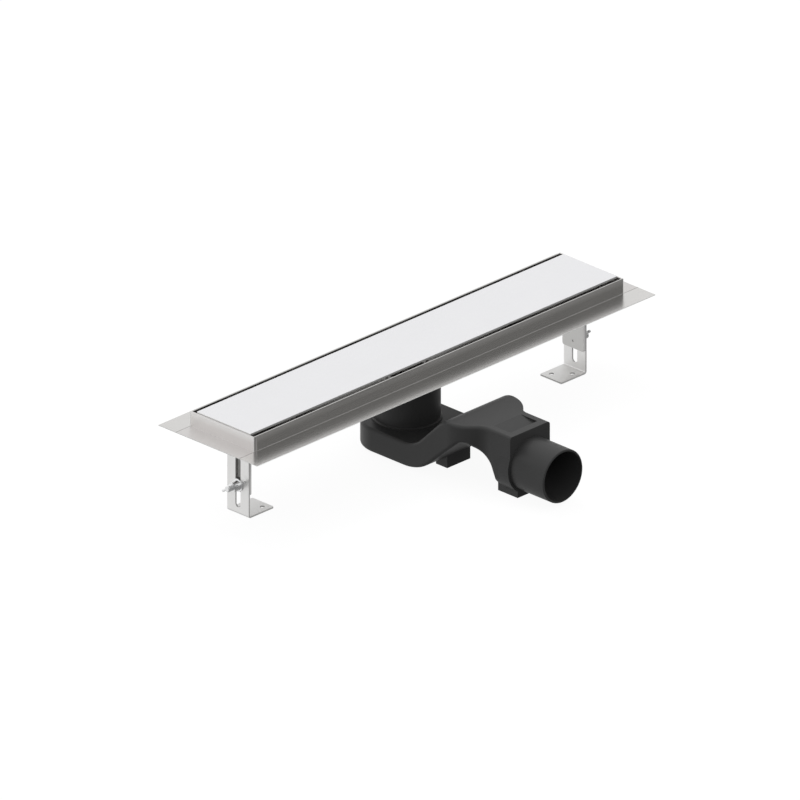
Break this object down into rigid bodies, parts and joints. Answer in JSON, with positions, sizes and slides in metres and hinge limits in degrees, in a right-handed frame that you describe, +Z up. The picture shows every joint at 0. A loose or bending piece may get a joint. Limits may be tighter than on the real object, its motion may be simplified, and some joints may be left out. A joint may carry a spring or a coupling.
{
  "type": "floor drain channel",
  "caption": "Stainless linear shower drain channel with sealing flange, flat cover, height-adjustable L-shaped legs and a low black plastic trap with a side outlet pipe.",
  "frame": {"origin": "middle of the cover's top face, the level of the finished floor", "axes": "+X along the channel, +Z up out of the cover, the outlet pipe leaves towards -Y"},
  "size_m": [0.5, 0.2532, 0.095],
  "materials": {
    "stainless": "brushed along its length",
    "cover_steel": "fine satin",
    "leg_steel": "plain rolled strip",
    "zinc": "bright zinc plate",
    "trap_plastic": "satin moulded",
    "rubber_seal": "smooth",
    "rubber_pad": "matt"
  },
  "bodies": {
    "channel": {"channel_trough": "stainless", "end_cap_left": "stainless", "end_cap_right": "stainless", "cover_plate": "cover_steel", "cover_saddle_left": "stainless", "cover_saddle_right": "stainless", "cover_pads_left": "rubber_pad", "cover_pads_right": "rubber_pad", "drain_spigot": "stainless", "strainer_basket": "stainless", "strainer_handle": "stainless", "leg_hanger_left": "leg_steel", "leg_hanger_right": "leg_steel", "stud_left": "zinc", "stud_right": "zinc", "washer_left": "zinc", "washer_right": "zinc"},
    "leg_left": {"leg_left": "leg_steel"},
    "leg_right": {"leg_right": "leg_steel"},
    "trap": {"trap_body": "trap_plastic", "trap_base": "trap_plastic", "inlet_socket": "trap_plastic", "inlet_seal": "rubber_seal"},
    "wing_nut_left": {"wing_nut_left": "zinc"},
    "wing_nut_right": {"wing_nut_right": "zinc"}
  },
  "joints": [
    {"name": "leg_left_height", "type": "slide", "parent": "channel", "child": "leg_left", "axis": [0, 0, 1], "range_m": [-0.0236, 0.015]},
    {"name": "leg_right_height", "type": "slide", "parent": "channel", "child": "leg_right", "axis": [0, 0, 1], "range_m": [-0.0236, 0.015]},
    {"name": "trap_swivel", "type": "hinge", "parent": "channel", "child": "trap", "pos_m": [0, 0, -0.045], "axis": [0, 0, 1], "range_deg": [-70, 70]},
    {"name": "wing_nut_right_turn", "type": "hinge", "parent": "channel", "child": "wing_nut_right", "pos_m": [0.2166, 0, -0.0662], "axis": [1, 0, 0], "range_deg": [0, 270]},
    {"name": "wing_nut_left_turn", "type": "hinge", "parent": "channel", "child": "wing_nut_left", "pos_m": [-0.2166, 0, -0.0662], "axis": [-1, 0, 0], "range_deg": [0, 270]}
  ]
}
